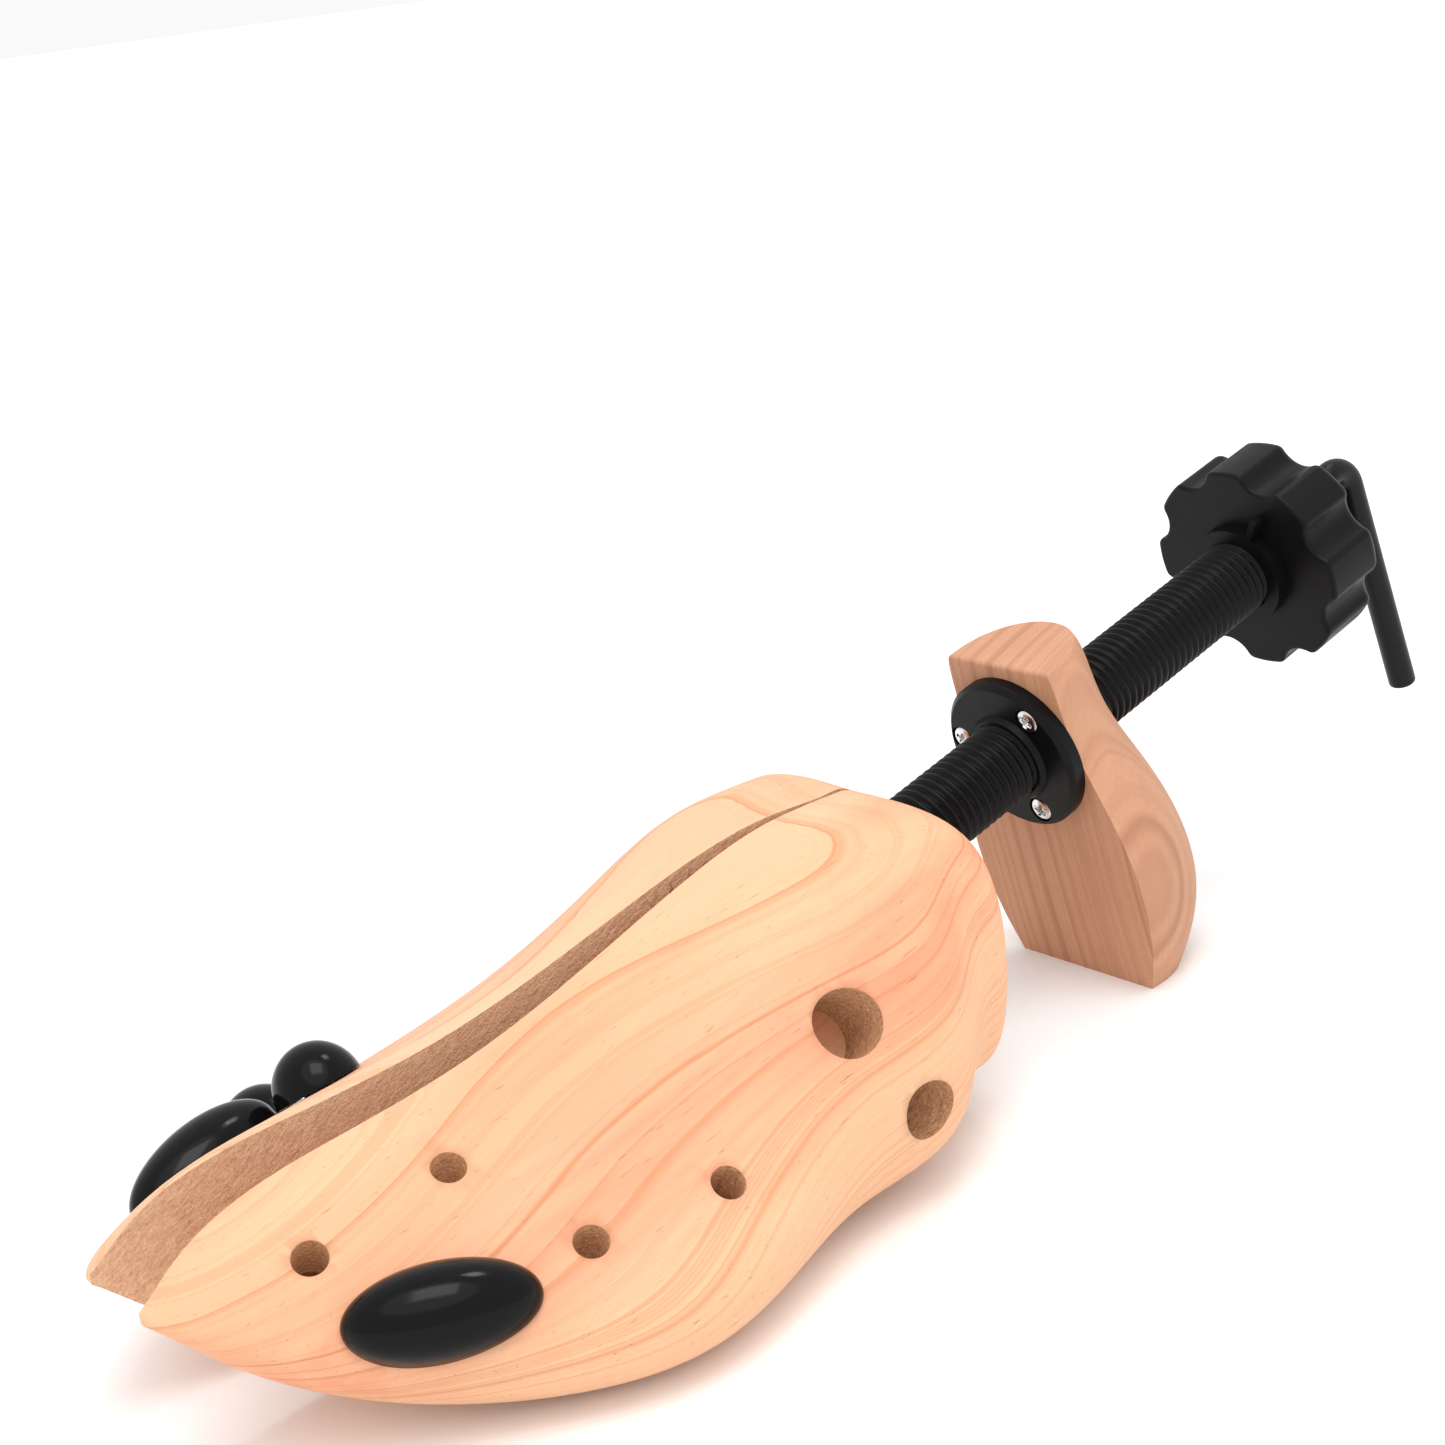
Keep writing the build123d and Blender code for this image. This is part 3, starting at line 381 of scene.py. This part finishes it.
def spoke(angle):
    """The direction at an angle round the tube."""
    return ACROSS * cos(angle) + UPWARD * sin(angle)


def circle(centre, radius, around):
    """Points on a circle square to the tube."""
    return [centre + spoke(tau * i / around) * radius for i in range(around)]


def off_line(point, centre):
    """How far a point is from the line through a centre along the tube."""
    offset = point - centre
    return (offset - ALONG * offset.dot(ALONG)).length


def reach(node):
    """Every (distance along, radius) of a CAD node's vertices about the tube's axis."""
    points = [vertex.co for vertex in frame["nodes"][node].data.vertices]
    return [((p - AXIS_POINT).dot(ALONG), off_line(p, AXIS_POINT)) for p in points]


INNER_DEPTH = 12 * MM  # how far a half's sawn inner face may be from the middle plane
BORE_ACROSS = 40 * MM  # wider than any hole in the wood


def wooden_half(node, name, body):
    """A forepart half from its CAD surface. Its sawn inner faces are told apart from the faces inside holes and
    pockets, which get darker wood with painted shade.
    """
    mesh = bmesh.new()
    mesh.from_mesh(frame["nodes"][node].data)
    bmesh.ops.remove_doubles(mesh, verts=mesh.verts, dist=0.002 * MM)
    mesh.normal_update()
    tree = BVHTree.FromBMesh(mesh)
    outer, sawn, hole_with_painted_shade = 0, 1, 2
    for face in mesh.faces:
        centre = face.calc_center_median()
        # a face whose normal runs back into the half looks into a hole or pocket and gets the darker wood: painted
        # shade in the recesses
        hit = tree.ray_cast(centre + face.normal * 0.05 * MM, face.normal, BORE_ACROSS)
        inner_side = abs(face.normal.y) > 0.985 and abs(centre.y) < INNER_DEPTH
        face.material_index = hole_with_painted_shade if hit[0] else (sawn if inner_side else outer)
    data = saved(mesh, name, sharp=28.0)
    for material in (PINE, SAWN, DRILLED_WITH_PAINTED_SHADE):
        data.materials.append(material)
    return new_piece(name, data, body, "pine", node)


wooden_half("forepart_left_half", "last_left", "left_half")
wooden_half("forepart_right_half", "last_right", "right_half")

THREAD_PITCH = 2.0 * MM
THREAD_DEPTH = 0.8 * MM


def thread_tube():
    """The screw tube with its rounded helical thread, its neck and its bore."""
    places = reach("threaded_tube")
    front = min(along for along, radius in places)
    rear = max(along for along, radius in places)
    crest = max(radius for along, radius in places)
    shoulder = min(along for along, radius in places if radius > crest - 1.2 * MM)
    front_end = [radius for along, radius in places if abs(along - front) < 0.1 * MM]
    neck = min(radius for radius in front_end if radius > 4 * MM)
    bore = min(radius for along, radius in places)
    around, per_turn = 72, 10

    def ring(along, radius):
        return circle(AXIS_POINT + ALONG * along, radius, around)

    rings = [ring(front, bore), ring(front, neck), ring(shoulder, neck)]
    count = round((rear - shoulder) / THREAD_PITCH * per_turn)
    for step in range(count + 1):
        along = shoulder + (rear - shoulder) * step / count
        centre = AXIS_POINT + ALONG * along
        lead_in = min(1.0, (along - shoulder) / THREAD_PITCH)
        threaded = []
        for i in range(around):
            wave = 0.5 + 0.5 * cos(tau * (along / THREAD_PITCH - i / around))
            groove = THREAD_DEPTH * (1 - wave**0.7)
            radius = crest - groove - (1 - lead_in) * THREAD_DEPTH
            threaded.append(centre + spoke(tau * i / around) * radius)
        rings.append(threaded)
    rings += [ring(rear, bore + 0.4 * MM), ring(front, bore)]
    mesh = bmesh.new()
    skin(mesh, rings)
    bmesh.ops.remove_doubles(mesh, verts=mesh.verts, dist=0.001 * MM)
    data = saved(mesh, "screw_thread", sharp=60.0)
    data.materials.append(PLASTIC)
    new_piece("screw_thread", data, "screw_tube", "black_plastic", "threaded_tube")


thread_tube()


def islands(node):
    """The separate solids of a CAD node, each as a list of its vertices' places."""
    mesh = bmesh.new()
    mesh.from_mesh(frame["nodes"][node].data)
    bmesh.ops.remove_doubles(mesh, verts=mesh.verts, dist=0.002 * MM)
    left = set(mesh.verts)
    found = []
    while left:
        group, edge = set(), [left.pop()]
        while edge:
            vertex = edge.pop()
            group.add(vertex)
            for link in vertex.link_edges:
                other = link.other_vert(vertex)
                if other in left:
                    left.discard(other)
                    edge.append(other)
        found.append([vertex.co.copy() for vertex in group])
    mesh.free()
    return found


SCREW_TURN = 0.5  # radians that the cross is turned round the head
SCREW_DOME = 0.55 * MM
SCREW_HEAD_HEIGHT = 1.9 * MM
CROSS_ARM = 0.42 * MM  # half an arm's width
CROSS_REACH = 1.45 * MM
CROSS_DEPTH = 1.25 * MM


def head_height(x, y, head):
    """How deep a screw head's face lies at a place: a dome with a cross cut into it."""
    share = (x * x + y * y) ** 0.5 / head
    fall = SCREW_DOME * share**2 + 0.5 * SCREW_DOME * share**12
    arm = min(abs(x), abs(y)) / CROSS_ARM
    end = max(abs(x), abs(y)) / CROSS_REACH
    return fall + CROSS_DEPTH * exp(-(arm**6)) * max(0.0, 1 - end**4)


def flange_screw(mesh, points):
    """One domed screw with a cross recess, on the tube's direction, from its CAD solid."""
    low = min(point.dot(ALONG) for point in points)
    high = max(point.dot(ALONG) for point in points)
    centre = sum(points, Vector()) / len(points)
    centre = centre - ALONG * (centre.dot(ALONG) - low)
    head = max(off_line(point, centre) for point in points)
    tip = [point for point in points if high - point.dot(ALONG) < 0.1 * MM]
    shank = min(off_line(point, centre) for point in tip)
    around, rings = 96, 26
    rows = []
    for step in range(rings + 1):
        radius = head * max(step / rings, 0.004)
        row = []
        for i in range(around):
            angle = tau * i / around
            x, y = radius * cos(angle - SCREW_TURN), radius * sin(angle - SCREW_TURN)
            row.append(centre + ALONG * head_height(x, y, head) + spoke(angle) * radius)
        rows.append(row)
    ends = ((SCREW_HEAD_HEIGHT, head), (SCREW_HEAD_HEIGHT, shank), (high - low, 0.9 * shank))
    for along, radius in ends:
        rows.append(circle(centre + ALONG * along, radius, around))
    made = skin(mesh, rows)
    mesh.faces.new(made[0])
    mesh.faces.new(made[-1])


screws = bmesh.new()
for points in islands("flange_screws"):
    flange_screw(screws, points)
screw_data = saved(screws, "cross_screws", sharp=50.0)
screw_data.materials.append(CHROME)
new_piece("cross_screws", screw_data, "heel", "chrome", "flange_screws")


SPRING_WIRE = 0.4 * MM  # the wire's radius
SPRING_HOOK = 1.5 * MM
HOOK_LENGTH = 4.4 * MM  # from the spring's end to its first coil


def coil_spring():
    """The return spring as one bent wire: a hook at each end and the coils between."""
    low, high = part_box("return_spring")
    middle = (low + high) / 2
    coil_radius = (high.z - low.z) / 2 - SPRING_WIRE
    half_coil = (high.y - low.y) / 2 - HOOK_LENGTH
    turns = round(2 * half_coil / (2.15 * SPRING_WIRE))
    hook_centre = (high.y - low.y) / 2 - SPRING_HOOK - SPRING_WIRE
    hooks = []
    for side in (-1, 1):
        hook = []
        for i in range(13):
            angle = side * (pi / 2 + tau * 0.85 * (1 - i / 12))
            y = side * (hook_centre - SPRING_HOOK * sin(abs(angle)))
            hook.append(Vector((0, y, SPRING_HOOK * cos(angle))))
        step_in = (0.4 * coil_radius, side * (half_coil + 0.5 * MM), 0.5 * coil_radius)
        hook.append(Vector(step_in))
        hooks.append(hook)
    coils = []
    steps = turns * 16
    for i in range(steps + 1):
        angle = tau * turns * i / steps
        y = -half_coil + 2 * half_coil * i / steps
        coils.append(Vector((coil_radius * sin(angle), y, coil_radius * cos(angle))))
    route = hooks[0] + coils + hooks[1][::-1]
    curve = bpy.data.curves.new("spring_wire", "CURVE")
    curve.dimensions = "3D"
    curve.bevel_depth = SPRING_WIRE
    curve.bevel_resolution = 3
    curve.use_fill_caps = True
    spline = curve.splines.new("POLY")
    spline.points.add(len(route) - 1)
    for point, place in zip(spline.points, route):
        point.co = (*(middle + place), 1)
    curve.materials.append(SPRING)
    new_piece("spring_wire", curve, "core", "spring_steel", "return_spring")


coil_spring()

# ---- floor, light and camera -------------------------------------------------------------------


def floor():
    """A plain pale floor, far wider than the object."""
    mesh = bmesh.new()
    bmesh.ops.create_grid(mesh, x_segments=1, y_segments=1, size=30.0)
    data = bpy.data.meshes.new("floor")
    mesh.to_mesh(data)
    mesh.free()
    pale = (0.95, 0.95, 0.95, 1)
    shader = Shader("floor", Base_Color=pale, Roughness=0.9, Specular_IOR_Level=0.1)
    data.materials.append(shader.material)
    plane = bpy.data.objects.new("floor", data)
    bpy.context.scene.collection.objects.link(plane)


floor()

MIDDLE = (cad_box[0] + cad_box[1]) / 2


def softbox(name, azimuth, elevation, distance, size, power):
    """A square soft light that points at the middle of the object."""
    light = bpy.data.lights.new(name, "AREA")
    light.size = size
    light.energy = power
    lamp = bpy.data.objects.new(name, light)
    a, e = radians(azimuth), radians(elevation)
    back = Vector((sin(a) * cos(e), -cos(a) * cos(e), sin(e)))
    lamp.location = MIDDLE + back * distance
    lamp.rotation_mode = "QUATERNION"
    lamp.rotation_quaternion = (-back).to_track_quat("-Z", "Y")
    bpy.context.scene.collection.objects.link(lamp)


softbox("key", -31, 72, 1.0, 0.45, 2.6)
softbox("spark", 101, 66, 1.0, 0.18, 1.0)

sun = bpy.data.lights.new("daylight", "SUN")
sun.energy = 0.7
sun.angle = radians(60)
daylight = bpy.data.objects.new("daylight", sun)
daylight.rotation_euler = (radians(20), radians(-12), 0)
bpy.context.scene.collection.objects.link(daylight)

world = bpy.data.worlds.new("studio")
world.use_nodes = True
world.node_tree.nodes["Background"].inputs["Color"].default_value = (1, 1, 1, 1)
world.node_tree.nodes["Background"].inputs["Strength"].default_value = 0.95
bpy.context.scene.world = world
bpy.context.scene.view_settings.view_transform = "Standard"

CAMERA_PLACE = Vector((-0.27115, -0.31232, 0.20749))
CAMERA_AZIMUTH = radians(-37.33)
CAMERA_ELEVATION = radians(18.01)
CAMERA_ROLL = radians(7.59)
LENS = 58.97

look = Vector(
    (
        -sin(CAMERA_AZIMUTH) * cos(CAMERA_ELEVATION),
        cos(CAMERA_AZIMUTH) * cos(CAMERA_ELEVATION),
        -sin(CAMERA_ELEVATION),
    )
)
level = Vector((cos(CAMERA_AZIMUTH), sin(CAMERA_AZIMUTH), 0))
over = level.cross(look)
right = level * cos(CAMERA_ROLL) - over * sin(CAMERA_ROLL)
up = level * sin(CAMERA_ROLL) + over * cos(CAMERA_ROLL)
camera_data = bpy.data.cameras.new("camera")
camera_data.lens = LENS
camera_data.sensor_width = 36.0
camera_data.clip_start = 0.01
camera_data.clip_end = 50.0
camera = bpy.data.objects.new("camera", camera_data)
turned = Matrix((right, up, -look)).transposed().to_4x4()
camera.matrix_world = Matrix.Translation(CAMERA_PLACE) @ turned
bpy.context.scene.collection.objects.link(camera)
bpy.context.scene.camera = camera
